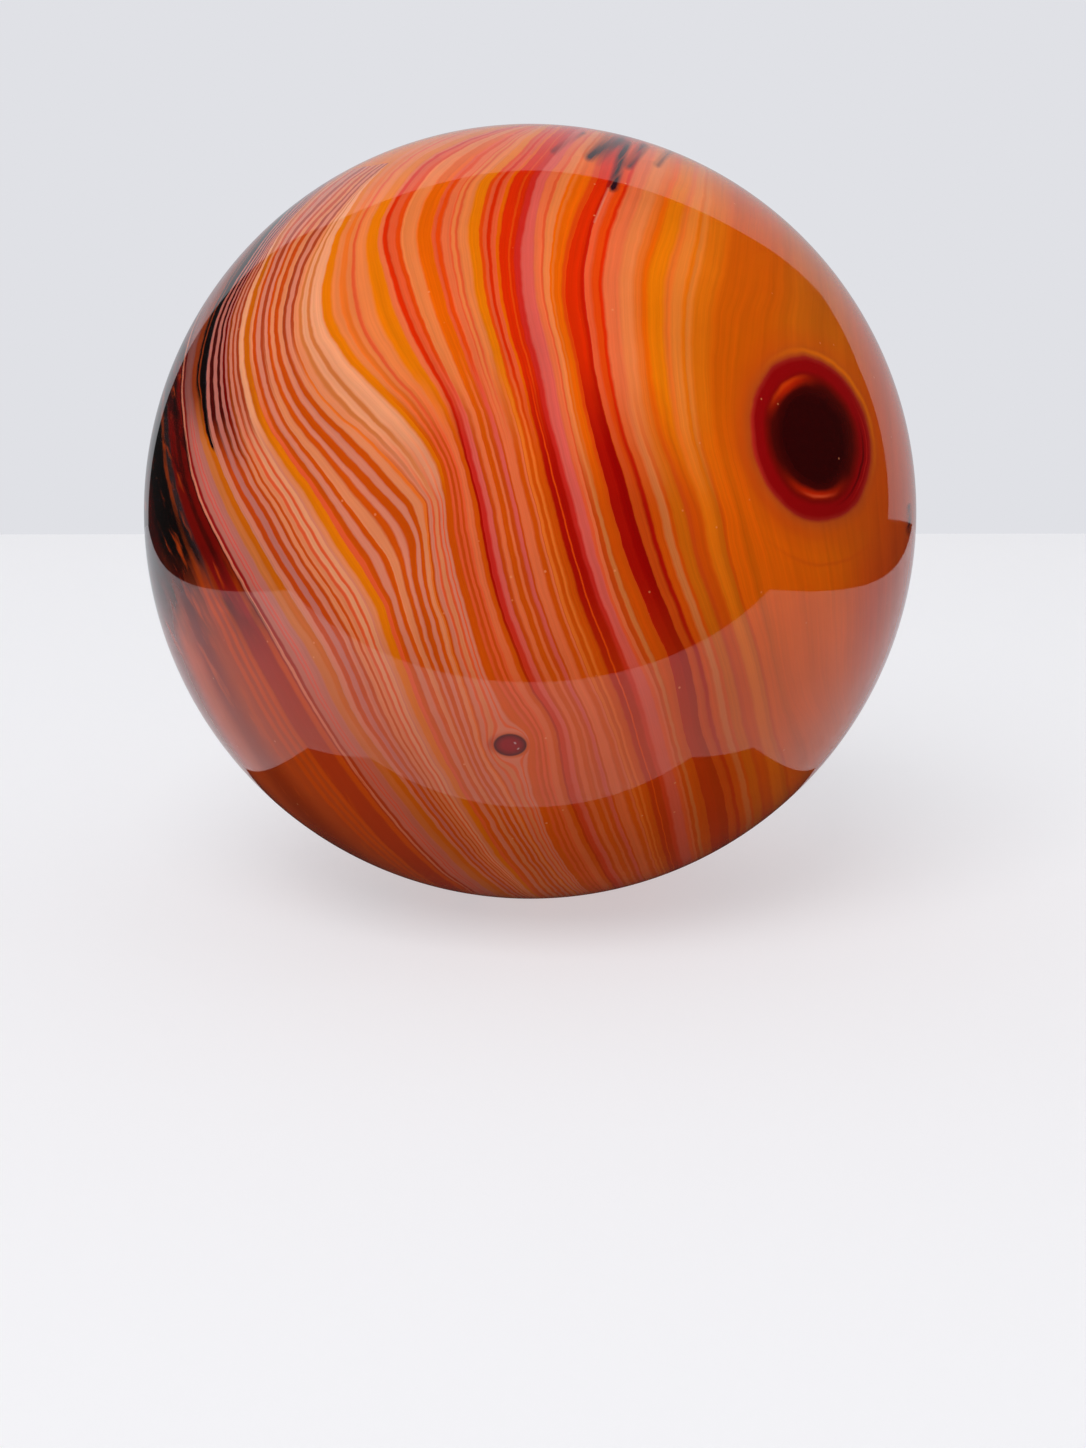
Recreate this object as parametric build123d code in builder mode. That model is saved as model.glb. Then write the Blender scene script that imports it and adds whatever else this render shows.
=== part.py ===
"""A solid polished ball of banded sardonyx, in millimetres.

The ball is one piece of stone: a full round section turned about the vertical axis, with no hole, flat
or seam. Its frame has +Z up and the origin at the ball's centre. The layers of the stone run across the
ball from -X to +X, and they are colour alone, so nothing here cuts the stone along them.
"""

from build123d import *
import os

# Driving dimension
BALL_DIAMETER = 62.0

# Worked out from it
BALL_RADIUS = BALL_DIAMETER / 2
TOP = (0, BALL_RADIUS)
BOTTOM = (0, -BALL_RADIUS)
OUTERMOST = (BALL_RADIUS, 0)

with BuildPart() as sphere:
    with BuildSketch(Plane.XZ):
        with BuildLine():
            ThreePointArc(BOTTOM, OUTERMOST, TOP)
            Line(TOP, BOTTOM)
        make_face()
    revolve(axis=Axis.Z)

sphere.part.label = "sphere"

os.makedirs("parts", exist_ok=True)
export_step(sphere.part, "parts/sphere.step")
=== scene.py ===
"""Sardonyx sphere: a polished ball of banded stone, resting on a pale desk in front of a pale board."""

from __future__ import annotations

import logging
import math
from dataclasses import dataclass
from enum import Enum

import bmesh
import bpy
from mathutils import Euler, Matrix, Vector

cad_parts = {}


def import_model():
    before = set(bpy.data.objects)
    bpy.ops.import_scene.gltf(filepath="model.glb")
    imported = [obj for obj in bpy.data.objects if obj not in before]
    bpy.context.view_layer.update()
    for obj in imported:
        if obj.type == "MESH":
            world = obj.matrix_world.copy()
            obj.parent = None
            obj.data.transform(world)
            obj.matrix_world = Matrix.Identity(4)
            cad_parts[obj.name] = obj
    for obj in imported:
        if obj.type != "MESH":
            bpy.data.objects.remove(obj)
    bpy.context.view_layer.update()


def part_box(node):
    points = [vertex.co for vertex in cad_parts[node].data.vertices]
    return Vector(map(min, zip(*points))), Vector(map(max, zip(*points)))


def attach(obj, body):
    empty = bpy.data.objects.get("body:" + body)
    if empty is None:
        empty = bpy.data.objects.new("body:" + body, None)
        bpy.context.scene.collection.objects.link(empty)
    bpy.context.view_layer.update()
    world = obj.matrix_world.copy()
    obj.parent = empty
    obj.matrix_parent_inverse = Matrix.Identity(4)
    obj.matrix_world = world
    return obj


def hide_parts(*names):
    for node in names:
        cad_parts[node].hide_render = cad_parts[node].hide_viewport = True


LOG = logging.getLogger("sardonyx_sphere")
STONE_NODE = "sphere"
BODY = "root"
MM = 0.001
VIEW_TILT = math.radians(8.0)  # how far the stone's layers, and the eye that looks at them, lean back

Socket = bpy.types.NodeSocket
Points = tuple[tuple[float, float], ...]


class Tone(Enum):
    """The stone's colours, as red, green and blue from 0 to 255."""

    INK = (14, 4, 4)
    SMOKE = (52, 36, 38)
    PLUM = (44, 14, 26)
    GARNET = (50, 2, 2)
    EMBER = (152, 6, 8)
    CHERRY = (158, 4, 0)
    APRICOT = (236, 128, 46)
    SHELL = (231, 136, 90)
    PEARL = (240, 158, 114)
    DUSK = (150, 84, 76)
    FLAME = (200, 26, 0)
    PUMPKIN = (216, 92, 2)
    MAROON = (78, 7, 3)
    OXBLOOD = (118, 9, 3)
    WINE = (160, 24, 24)
    BLOOD = (176, 14, 2)
    CRIMSON = (206, 40, 30)
    SCARLET = (220, 42, 0)
    VERMILION = (228, 70, 8)
    BRICK = (176, 64, 30)
    RUST = (206, 72, 13)
    BROWN = (150, 56, 18)
    UMBER = (213, 80, 4)
    ORANGE = (234, 98, 2)
    TANGERINE = (238, 114, 38)
    AMBER = (234, 120, 4)
    OCHRE = (210, 100, 8)
    GOLD = (230, 112, 10)
    TAN = (212, 116, 58)
    CORAL = (232, 90, 48)
    SALMON = (233, 110, 64)
    PEACH = (236, 128, 68)
    CREAM = (238, 150, 98)
    BLUSH = (222, 130, 102)
    MAUVE = (204, 118, 104)
    ROSE = (222, 92, 80)
    FROST = (236, 214, 206)

    @property
    def linear(self) -> tuple[float, float, float, float]:
        """The tone as the renderer's linear colour."""
        return linear_colour(*self.value)


Bands = tuple[tuple[float, float, Tone], ...]


def linear_colour(red: float, green: float, blue: float) -> tuple[float, float, float, float]:
    """Turns a colour from 0 to 255 into the renderer's linear values.

    Args:
        red: The red part.
        green: The green part.
        blue: The blue part.

    Returns:
        Linear red, green and blue, and an alpha of one.
    """

    def straighten(part: float) -> float:
        """Undoes the display curve for one part."""
        share = part / 255
        return share / 12.92 if share <= 0.04045 else ((share + 0.055) / 1.055) ** 2.4

    return straighten(red), straighten(green), straighten(blue), 1.0


class Wiring:
    """Adds and links a tree's nodes, in the order in which their values are needed."""

    def __init__(self, tree: bpy.types.NodeTree) -> None:
        """Keeps the tree that is being wired.

        Args:
            tree: The material's or the group's node tree.
        """
        self.tree = tree

    def put(self, kind: str, **settings: object) -> bpy.types.Node:
        """Adds a node.

        Args:
            kind: The node's type name.
            **settings: Values of the node's own properties.

        Returns:
            The new node.
        """
        node = self.tree.nodes.new(kind)
        for name, value in settings.items():
            setattr(node, name, value)
        return node

    def feed(self, socket: Socket, value: object) -> None:
        """Links a socket to another one, or sets its plain value.

        Args:
            socket: The input to feed.
            value: An output socket, or a number, vector or colour.
        """
        if isinstance(value, Socket):
            self.tree.links.new(value, socket)
        else:
            socket.default_value = value

    def math(self, operation: str, *values: object, clamp: bool = False) -> Socket:
        """Works out one number from others."""
        node = self.put("ShaderNodeMath", operation=operation, use_clamp=clamp)
        for socket, value in zip(node.inputs, values):
            self.feed(socket, value)
        return node.outputs[0]

    def vector(self, operation: str, *values: object, number: bool = False) -> Socket:
        """Works out a vector, or a number such as a length, from vectors."""
        node = self.put("ShaderNodeVectorMath", operation=operation)
        for socket, value in zip(node.inputs, values):
            self.feed(socket, value)
        return node.outputs["Value" if number else "Vector"]

    def scaled(self, vector: Socket, factor: object) -> Socket:
        """Makes a vector longer or shorter by a factor."""
        node = self.put("ShaderNodeVectorMath", operation="SCALE")
        self.feed(node.inputs[0], vector)
        self.feed(node.inputs["Scale"], factor)
        return node.outputs["Vector"]

    def join(self, across: object, away: object, up: object) -> Socket:
        """Joins three numbers into a vector."""
        node = self.put("ShaderNodeCombineXYZ")
        for socket, value in zip(node.inputs, (across, away, up)):
            self.feed(socket, value)
        return node.outputs[0]

    def parts(self, vector: Socket) -> tuple[Socket, Socket, Socket]:
        """Splits a vector into its three numbers."""
        node = self.put("ShaderNodeSeparateXYZ")
        self.feed(node.inputs[0], vector)
        return node.outputs[0], node.outputs[1], node.outputs[2]

    def span(
        self, value: object, start: object, end: object, low: object = 0.0, high: object = 1.0,
        smooth: bool = False,
    ) -> Socket:
        """Measures how far a value has gone from start to end.

        Args:
            value: The number that is measured.
            start: Where the span starts.
            end: Where the span ends.
            low: What start gives.
            high: What end gives.
            smooth: Whether the way between them eases in and out.

        Returns:
            A number that stays between low and high.
        """
        kind = "SMOOTHSTEP" if smooth else "LINEAR"
        node = self.put("ShaderNodeMapRange", interpolation_type=kind, clamp=True)
        for socket, number in zip(node.inputs, (value, start, end, low, high)):
            self.feed(socket, number)
        return node.outputs[0]

    def noise(self, place: Socket, scale: float, detail: float = 2.0, rough: float = 0.5) -> Socket:
        """Gives a soft random number from 0 to 1 at a place."""
        node = self.put("ShaderNodeTexNoise")
        self.feed(node.inputs["Vector"], place)
        self.feed(node.inputs["Scale"], scale)
        self.feed(node.inputs["Detail"], detail)
        self.feed(node.inputs["Roughness"], rough)
        return node.outputs["Fac"]

    def shaken(self, place: Socket, scale: float, detail: float, reach: object) -> Socket:
        """Moves a place by a soft random vector.

        Args:
            place: The place to move.
            scale: How fine the randomness is.
            detail: How much finer randomness is laid over it.
            reach: How far it moves.

        Returns:
            The moved place.
        """
        node = self.put("ShaderNodeTexNoise")
        self.feed(node.inputs["Vector"], place)
        self.feed(node.inputs["Scale"], scale)
        self.feed(node.inputs["Detail"], detail)
        centred = self.vector("SUBTRACT", node.outputs["Color"], (0.5, 0.5, 0.5))
        return self.vector("ADD", place, self.scaled(centred, reach))

    def mix(self, under: object, over: object, factor: object, blend: str = "MIX") -> Socket:
        """Lays one colour over another.

        Args:
            under: The colour below.
            over: The colour on top.
            factor: How much of the top colour shows, from 0 to 1.
            blend: How the two meet.

        Returns:
            The colour that results.
        """
        node = self.put("ShaderNodeMix", data_type="RGBA", blend_type=blend, clamp_factor=True)
        self.feed(node.inputs[0], factor)
        self.feed(node.inputs[6], under)
        self.feed(node.inputs[7], over)
        return node.outputs[2]

    def ramp(self, factor: Socket, bands: Bands) -> Socket:
        """Colours a run of bands.

        Args:
            factor: How far across the run, from 0 to 1.
            bands: Where each band starts and ends, and its tone.

        Returns:
            The band's colour there, eased from one band to the next.
        """
        node = self.put("ShaderNodeValToRGB")
        stops = node.color_ramp
        stops.interpolation = "EASE"
        places = [(end, tone) for start, last, tone in bands for end in sorted({start, last})]
        while len(stops.elements) > 1:
            stops.elements.remove(stops.elements[-1])
        stops.elements[0].position = places[0][0]
        stops.elements[0].color = places[0][1].linear
        for place, tone in places[1:]:
            stops.elements.new(place).color = tone.linear
        self.feed(node.inputs[0], factor)
        return node.outputs[0]

    def seam(self, height: Socket, points: Points) -> Socket:
        """Follows a seam through the stone.

        Args:
            height: How high on the ball, from 0 at its foot to 1 at its crown.
            points: The seam's (height, across) points, each from -1 to 1.

        Returns:
            How far across the seam lies at that height, from -1 to 1.
        """
        node = self.put("ShaderNodeFloatCurve")
        node.mapping.use_clip = False
        line = node.mapping.curves[0].points
        places = sorted((0.5 + up / 2, 0.5 + across / 2) for up, across in points)
        for point, place in zip((line[0], line[-1]), (places[0], places[-1])):
            point.location = place
        for place in places[1:-1]:
            line.new(*place)
        for point in line:
            point.handle_type = "AUTO"
        node.mapping.update()
        self.feed(node.inputs["Value"], height)
        return self.math("MULTIPLY_ADD", node.outputs[0], 2.0, -1.0)


def new_group(name: str, inputs: dict[str, str], outputs: dict[str, str]) -> tuple[Wiring, bpy.types.Node]:
    """Starts a shader node group.

    Args:
        name: The group's name.
        inputs: Each input's name and kind: Vector, Float or Color.
        outputs: Each output's name and kind.

    Returns:
        The group's wiring, and its Group Input node.
    """
    tree = bpy.data.node_groups.new(name, "ShaderNodeTree")
    for sockets, way in ((inputs, "INPUT"), (outputs, "OUTPUT")):
        for label, kind in sockets.items():
            tree.interface.new_socket(name=label, in_out=way, socket_type=f"NodeSocket{kind}")
    wiring = Wiring(tree)
    return wiring, wiring.put("NodeGroupInput")


def close_group(wiring: Wiring, **results: Socket) -> bpy.types.NodeTree:
    """Gives a group its results.

    Args:
        wiring: The group's wiring.
        **results: The socket that each output is fed from.

    Returns:
        The finished group.
    """
    end = wiring.put("NodeGroupOutput")
    for name, socket in results.items():
        wiring.feed(end.inputs[name], socket)
    return wiring.tree


@dataclass(frozen=True)
class Layer:
    """The bands between one seam and the next one to its right.

    Places are shares of the ball's radius, seen square to the layers: a seam's points are (height, across).
    The upper bands turn into the lower ones between the two heights of turn. Width is how many fine streaks
    the layer holds, beside the others, and smoky is how much black smoke drifts through its upper part.
    """

    name: str
    seam: Points
    upper: Bands
    lower: Bands
    width: float
    turn: tuple[float, float] = (0.30, -0.05)
    smoky: float = 0.0


LAYERS: tuple[Layer, ...] = (
    Layer(
        "black glass",
        ((0.98, -0.75), (0.0, -1.03), (-0.98, -0.75)),
        ((0.0, 0.30, Tone.INK), (0.48, 0.52, Tone.MAROON), (0.70, 1.0, Tone.INK)),
        (
            (0.0, 0.10, Tone.MAROON), (0.22, 0.26, Tone.BRICK), (0.40, 0.44, Tone.OXBLOOD),
            (0.58, 0.62, Tone.RUST), (0.76, 0.80, Tone.OXBLOOD), (0.95, 1.0, Tone.BRICK),
        ),
        0.10,
        (-0.05, -0.35),
        smoky=0.95,
    ),
    Layer(
        "smoke and oxblood",
        (
            (0.95, -0.62), (0.7, -0.80), (0.5, -0.90), (0.35, -0.935), (0.2, -0.918), (0.05, -0.885),
            (-0.15, -0.805), (-0.3, -0.735), (-0.45, -0.66), (-0.6, -0.57), (-0.8, -0.42), (-0.95, -0.28),
        ),
        (
            (0.0, 0.06, Tone.INK), (0.13, 0.17, Tone.BROWN), (0.25, 0.34, Tone.SMOKE),
            (0.45, 0.58, Tone.OXBLOOD), (0.68, 0.72, Tone.MAROON), (0.82, 0.90, Tone.OXBLOOD),
            (0.945, 0.95, Tone.MAROON), (0.98, 1.0, Tone.BLUSH),
        ),
        (
            (0.0, 0.04, Tone.BRICK), (0.09, 0.13, Tone.RUST), (0.17, 0.20, Tone.BRICK),
            (0.25, 0.28, Tone.RUST), (0.32, 0.34, Tone.BRICK), (0.38, 0.42, Tone.RUST),
            (0.48, 0.80, Tone.WINE), (0.86, 0.92, Tone.RUST), (0.955, 0.96, Tone.WINE),
            (0.98, 1.0, Tone.BLUSH),
        ),
        0.10,
        (-0.05, -0.25),
        smoky=0.75,
    ),
    Layer(
        "mauve and tan",
        (
            (0.95, -0.50), (0.75, -0.66), (0.58, -0.79), (0.45, -0.845), (0.34, -0.851), (0.25, -0.839),
            (0.164, -0.823), (0.093, -0.804), (0.02, -0.775), (-0.10, -0.707), (-0.25, -0.62),
            (-0.345, -0.562), (-0.46, -0.50), (-0.593, -0.418), (-0.714, -0.336), (-0.836, -0.25),
            (-0.95, -0.15),
        ),
        (
            (0.0, 0.02, Tone.BLUSH), (0.06, 0.13, Tone.OXBLOOD), (0.20, 0.50, Tone.DUSK),
            (0.66, 0.80, Tone.BROWN), (0.95, 1.0, Tone.INK),
        ),
        (
            (0.0, 0.02, Tone.BLUSH), (0.05, 0.10, Tone.WINE), (0.16, 0.26, Tone.MAUVE),
            (0.30, 0.31, Tone.ROSE), (0.35, 0.38, Tone.MAUVE), (0.41, 0.42, Tone.ROSE),
            (0.46, 0.62, Tone.MAUVE), (0.70, 0.86, Tone.TAN), (0.93, 1.0, Tone.OCHRE),
        ),
        0.07,
        (0.34, 0.14),
    ),
    Layer(
        "black wedge",
        (
            (0.95, -0.46), (0.80, -0.595), (0.63, -0.71), (0.557, -0.748), (0.468, -0.782), (0.40, -0.796),
            (0.343, -0.80), (0.289, -0.79), (0.204, -0.770), (0.14, -0.744), (0.07, -0.712), (0.0, -0.673),
            (-0.10, -0.613), (-0.211, -0.546), (-0.35, -0.458), (-0.4536, -0.416), (-0.529, -0.369),
            (-0.65, -0.286), (-0.80, -0.186), (-0.95, -0.066),
        ),
        ((0.0, 0.10, Tone.BROWN), (0.30, 1.0, Tone.INK)),
        ((0.0, 0.70, Tone.OCHRE), (0.95, 1.0, Tone.TAN)),
        0.02,
        (0.150, 0.125),
    ),
    Layer(
        "dark fine lines",
        (
            (0.95, -0.44), (0.80, -0.575), (0.63, -0.69), (0.50, -0.757), (0.40, -0.7765), (0.30, -0.777),
            (0.20, -0.759), (0.10, -0.720), (0.0, -0.665), (-0.10, -0.606), (-0.25, -0.51), (-0.35, -0.452),
            (-0.4536, -0.41), (-0.529, -0.363), (-0.65, -0.28), (-0.80, -0.18), (-0.95, -0.06),
        ),
        (
            (0.0, 0.03, Tone.SMOKE), (0.08, 0.17, Tone.MAUVE), (0.21, 0.34, Tone.MAROON),
            (0.39, 0.50, Tone.MAUVE), (0.54, 0.63, Tone.MAROON), (0.67, 0.75, Tone.MAUVE),
            (0.78, 0.86, Tone.OXBLOOD), (0.90, 0.95, Tone.MAUVE), (0.98, 1.0, Tone.BRICK),
        ),
        (
            (0.0, 0.15, Tone.BLUSH), (0.20, 0.30, Tone.RUST), (0.34, 0.46, Tone.MAUVE),
            (0.50, 0.59, Tone.RUST), (0.63, 0.73, Tone.BLUSH), (0.77, 0.82, Tone.RUST),
            (0.86, 0.95, Tone.SHELL), (0.98, 1.0, Tone.RUST),
        ),
        0.10,
        (0.26, 0.08),
    ),
    Layer(
        "brown fine lines",
        (
            (0.95, -0.39), (0.80, -0.53), (0.63, -0.655), (0.50, -0.7106), (0.40, -0.721), (0.30, -0.710),
            (0.20, -0.682), (0.10, -0.629), (0.0, -0.564), (-0.10, -0.504), (-0.2, -0.4355), (-0.27, -0.397),
            (-0.35, -0.3645), (-0.5, -0.300), (-0.6, -0.245), (-0.8, -0.125), (-0.95, -0.01),
        ),
        (
            (0.0, 0.06, Tone.BROWN), (0.11, 0.20, Tone.BLUSH), (0.24, 0.31, Tone.BRICK),
            (0.35, 0.42, Tone.BLUSH), (0.47, 0.55, Tone.BRICK), (0.61, 0.78, Tone.PEARL),
            (0.88, 1.0, Tone.OCHRE),
        ),
        (
            (0.0, 0.02, Tone.RUST), (0.06, 0.16, Tone.SHELL), (0.20, 0.25, Tone.CORAL),
            (0.30, 0.39, Tone.PEARL), (0.43, 0.47, Tone.CORAL), (0.52, 0.60, Tone.PEARL),
            (0.64, 0.66, Tone.BLUSH), (0.70, 0.78, Tone.SHELL), (0.88, 1.0, Tone.AMBER),
        ),
        0.08,
        (0.30, 0.12),
    ),
    Layer(
        "first amber line",
        (
            (0.95, -0.34), (0.85, -0.47), (0.75, -0.565), (0.65, -0.622), (0.57, -0.647), (0.50, -0.6625),
            (0.42, -0.668), (0.36, -0.6625), (0.29, -0.646), (0.22, -0.62), (0.136, -0.564), (0.04, -0.494),
            (-0.06, -0.432), (-0.136, -0.379), (-0.19, -0.343), (-0.254, -0.321), (-0.32, -0.30),
            (-0.404, -0.271), (-0.55, -0.204), (-0.63, -0.164), (-0.757, -0.107), (-0.97, 0.02),
        ),
        (
            (0.0, 0.10, Tone.OCHRE), (0.18, 0.32, Tone.SHELL), (0.38, 0.52, Tone.RUST),
            (0.60, 0.80, Tone.BLUSH), (0.87, 1.0, Tone.BRICK),
        ),
        (
            (0.0, 0.09, Tone.AMBER), (0.15, 0.28, Tone.CORAL), (0.34, 0.48, Tone.UMBER),
            (0.56, 0.74, Tone.BLUSH), (0.84, 0.97, Tone.UMBER), (1.0, 1.0, Tone.SHELL),
        ),
        0.05,
        (0.45, 0.10),
    ),
    Layer(
        "salmon lines",
        (
            (0.95, -0.30), (0.85, -0.42), (0.75, -0.52), (0.66, -0.583), (0.564, -0.616), (0.486, -0.6286),
            (0.40, -0.627), (0.321, -0.611), (0.25, -0.579), (0.204, -0.554), (0.1375, -0.5), (0.025, -0.411),
            (-0.061, -0.346), (-0.10, -0.318), (-0.132, -0.305), (-0.207, -0.286), (-0.289, -0.257),
            (-0.40, -0.215), (-0.50, -0.170), (-0.60, -0.128), (-0.75, -0.062), (-0.95, 0.05),
        ),
        (
            (0.0, 0.08, Tone.BRICK), (0.15, 0.30, Tone.BLUSH), (0.37, 0.50, Tone.RUST),
            (0.58, 0.76, Tone.SHELL), (0.86, 1.0, Tone.RUST),
        ),
        (
            (0.0, 0.28, Tone.SHELL), (0.40, 0.53, Tone.UMBER), (0.62, 0.74, Tone.BLUSH),
            (0.84, 1.0, Tone.UMBER),
        ),
        0.04,
        (0.50, 0.20),
    ),
    Layer(
        "bold orange line",
        (
            (0.95, -0.26), (0.85, -0.385), (0.75, -0.478), (0.66, -0.545), (0.557, -0.582), (0.486, -0.593),
            (0.40, -0.589), (0.321, -0.564), (0.236, -0.514), (0.143, -0.429), (0.068, -0.357),
            (-0.011, -0.286), (-0.039, -0.268), (-0.057, -0.2625), (-0.154, -0.254), (-0.243, -0.229),
            (-0.343, -0.200), (-0.45, -0.160), (-0.55, -0.118), (-0.65, -0.077), (-0.8, -0.005),
            (-0.95, 0.08),
        ),
        (
            (0.0, 0.04, Tone.RUST), (0.14, 0.32, Tone.SHELL), (0.38, 0.50, Tone.BRICK),
            (0.58, 0.76, Tone.BLUSH), (0.84, 0.96, Tone.BRICK), (1.0, 1.0, Tone.SHELL),
        ),
        (
            (0.0, 0.06, Tone.UMBER), (0.14, 0.33, Tone.BLUSH), (0.41, 0.56, Tone.UMBER),
            (0.64, 0.84, Tone.SHELL), (0.93, 1.0, Tone.TANGERINE),
        ),
        0.04,
        (0.50, 0.22),
    ),
    Layer(
        "cream",
        (
            (0.95, -0.22), (0.86, -0.345), (0.75, -0.443), (0.65, -0.505), (0.55, -0.54), (0.45, -0.55),
            (0.379, -0.536), (0.307, -0.5), (0.246, -0.45), (0.164, -0.357), (0.107, -0.30), (0.046, -0.25),
            (0.025, -0.236), (0.0, -0.232), (-0.10, -0.223), (-0.171, -0.214), (-0.25, -0.189),
            (-0.343, -0.162), (-0.45, -0.125), (-0.55, -0.083), (-0.65, -0.045), (-0.8, 0.02), (-0.95, 0.11),
        ),
        (
            (0.0, 0.11, Tone.SHELL), (0.17, 0.21, Tone.TAN), (0.27, 0.37, Tone.PEARL),
            (0.42, 0.47, Tone.TAN), (0.54, 0.84, Tone.PEARL), (0.94, 1.0, Tone.AMBER),
        ),
        (
            (0.0, 0.04, Tone.UMBER), (0.12, 0.22, Tone.BLUSH), (0.28, 0.32, Tone.CORAL),
            (0.37, 0.49, Tone.SHELL), (0.54, 0.58, Tone.CORAL), (0.63, 0.70, Tone.BLUSH),
            (0.73, 0.75, Tone.CORAL), (0.79, 0.83, Tone.BLUSH), (0.92, 1.0, Tone.UMBER),
        ),
        0.08,
        (0.22, -0.02),
    ),
    Layer(
        "second amber line",
        (
            (0.97, -0.18), (0.893, -0.31), (0.80, -0.390), (0.704, -0.439), (0.643, -0.461), (0.579, -0.471),
            (0.507, -0.476), (0.439, -0.461), (0.368, -0.418), (0.311, -0.364), (0.257, -0.307),
            (0.2, -0.256),
            (0.145, -0.214), (0.115, -0.200), (0.04, -0.187), (-0.05, -0.176), (-0.146, -0.154),
            (-0.225, -0.132), (-0.304, -0.111), (-0.386, -0.084), (-0.454, -0.055), (-0.55, -0.018),
            (-0.65, 0.012), (-0.8, 0.066), (-0.95, 0.15),
        ),
        (
            (0.0, 0.06, Tone.AMBER), (0.12, 0.18, Tone.PEACH), (0.22, 0.28, Tone.TANGERINE),
            (0.32, 0.36, Tone.PEACH), (0.39, 0.41, Tone.CORAL), (0.46, 0.60, Tone.PEACH),
            (0.67, 0.84, Tone.AMBER), (0.89, 0.93, Tone.SALMON), (0.97, 1.0, Tone.SCARLET),
        ),
        (
            (0.0, 0.11, Tone.UMBER), (0.17, 0.20, Tone.CORAL), (0.26, 0.31, Tone.RUST),
            (0.35, 0.41, Tone.CORAL), (0.44, 0.47, Tone.RUST), (0.51, 0.55, Tone.CORAL),
            (0.61, 0.74, Tone.SALMON), (0.81, 0.90, Tone.UMBER), (0.95, 1.0, Tone.BLOOD),
        ),
        0.12,
        (0.36, 0.10),
    ),
    Layer(
        "orange and salmon",
        (
            (0.97, -0.02), (0.90, -0.17), (0.836, -0.257), (0.779, -0.296), (0.721, -0.325), (0.657, -0.3375),
            (0.596, -0.329), (0.529, -0.305), (0.471, -0.286), (0.407, -0.257), (0.329, -0.218),
            (0.239, -0.171), (0.182, -0.154), (0.104, -0.132), (0.021, -0.1125), (-0.064, -0.098),
            (-0.154, -0.08), (-0.232, -0.057), (-0.307, -0.032), (-0.396, 0.0), (-0.489, 0.048),
            (-0.561, 0.064), (-0.636, 0.082), (-0.757, 0.130), (-0.95, 0.22),
        ),
        (
            (0.0, 0.01, Tone.SCARLET), (0.04, 0.10, Tone.CORAL), (0.13, 0.16, Tone.VERMILION),
            (0.19, 0.33, Tone.PEACH), (0.38, 0.52, Tone.ORANGE), (0.55, 0.57, Tone.CORAL),
            (0.59, 0.62, Tone.VERMILION), (0.66, 0.72, Tone.SALMON), (0.735, 0.74, Tone.CORAL),
            (0.76, 0.78, Tone.PEACH), (0.80, 0.81, Tone.CORAL), (0.84, 0.91, Tone.PEACH),
            (0.96, 1.0, Tone.AMBER),
        ),
        (
            (0.0, 0.07, Tone.CRIMSON), (0.12, 0.17, Tone.ROSE), (0.20, 0.23, Tone.RUST),
            (0.28, 0.33, Tone.SALMON), (0.36, 0.43, Tone.UMBER), (0.46, 0.48, Tone.SALMON),
            (0.51, 0.55, Tone.RUST), (0.60, 0.63, Tone.ROSE), (0.655, 0.665, Tone.RUST),
            (0.69, 0.82, Tone.SALMON), (0.88, 0.93, Tone.UMBER), (0.96, 0.98, Tone.SALMON),
            (1.0, 1.0, Tone.UMBER),
        ),
        0.22,
        (0.40, 0.12),
    ),
    Layer(
        "scarlet",
        (
            (0.97, 0.04), (0.893, -0.018), (0.836, -0.061), (0.782, -0.107), (0.72, -0.121), (0.65, -0.129),
            (0.579, -0.123), (0.507, -0.114), (0.436, -0.096), (0.357, -0.073), (0.257, -0.046),
            (0.179, -0.025), (0.093, -0.006), (0.0, 0.018), (-0.1, 0.042), (-0.2, 0.069), (-0.3, 0.1036),
            (-0.407, 0.15), (-0.5, 0.186), (-0.596, 0.218), (-0.75, 0.27), (-0.95, 0.34),
        ),
        (
            (0.0, 0.09, Tone.AMBER), (0.14, 0.18, Tone.VERMILION), (0.22, 0.26, Tone.CORAL),
            (0.30, 0.34, Tone.SCARLET), (0.39, 0.46, Tone.CORAL), (0.49, 0.53, Tone.ORANGE),
            (0.58, 0.75, Tone.SCARLET), (0.79, 0.80, Tone.VERMILION), (0.83, 0.88, Tone.SCARLET),
            (0.95, 1.0, Tone.CRIMSON),
        ),
        (
            (0.0, 0.06, Tone.TANGERINE), (0.12, 0.18, Tone.UMBER), (0.23, 0.25, Tone.TANGERINE),
            (0.32, 0.46, Tone.UMBER), (0.56, 0.67, Tone.BLOOD), (0.70, 0.71, Tone.VERMILION),
            (0.75, 0.90, Tone.BLOOD), (1.0, 1.0, Tone.CRIMSON),
        ),
        0.15,
        (0.38, 0.10),
    ),
    Layer(
        "rose",
        (
            (0.97, 0.12), (0.886, 0.066), (0.817, 0.025), (0.76, 0.004), (0.686, -0.0125), (0.614, -0.027),
            (0.543, -0.027), (0.471, -0.018), (0.40, -0.003), (0.329, 0.014), (0.257, 0.029), (0.186, 0.046),
            (0.114, 0.066), (0.043, 0.084), (-0.036, 0.104), (-0.143, 0.136), (-0.225, 0.164), (-0.314, 0.20),
            (-0.461, 0.25), (-0.543, 0.275), (-0.65, 0.31), (-0.8, 0.35), (-0.95, 0.40),
        ),
        ((0.0, 0.06, Tone.CRIMSON), (0.25, 0.70, Tone.ROSE), (0.88, 1.0, Tone.SALMON)),
        ((0.0, 0.10, Tone.CRIMSON), (0.30, 0.70, Tone.ROSE), (0.88, 1.0, Tone.CORAL)),
        0.05,
    ),
    Layer(
        "peach and orange",
        (
            (0.97, 0.16), (0.87, 0.092), (0.793, 0.05), (0.70, 0.025), (0.60, 0.018), (0.543, 0.016),
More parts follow.
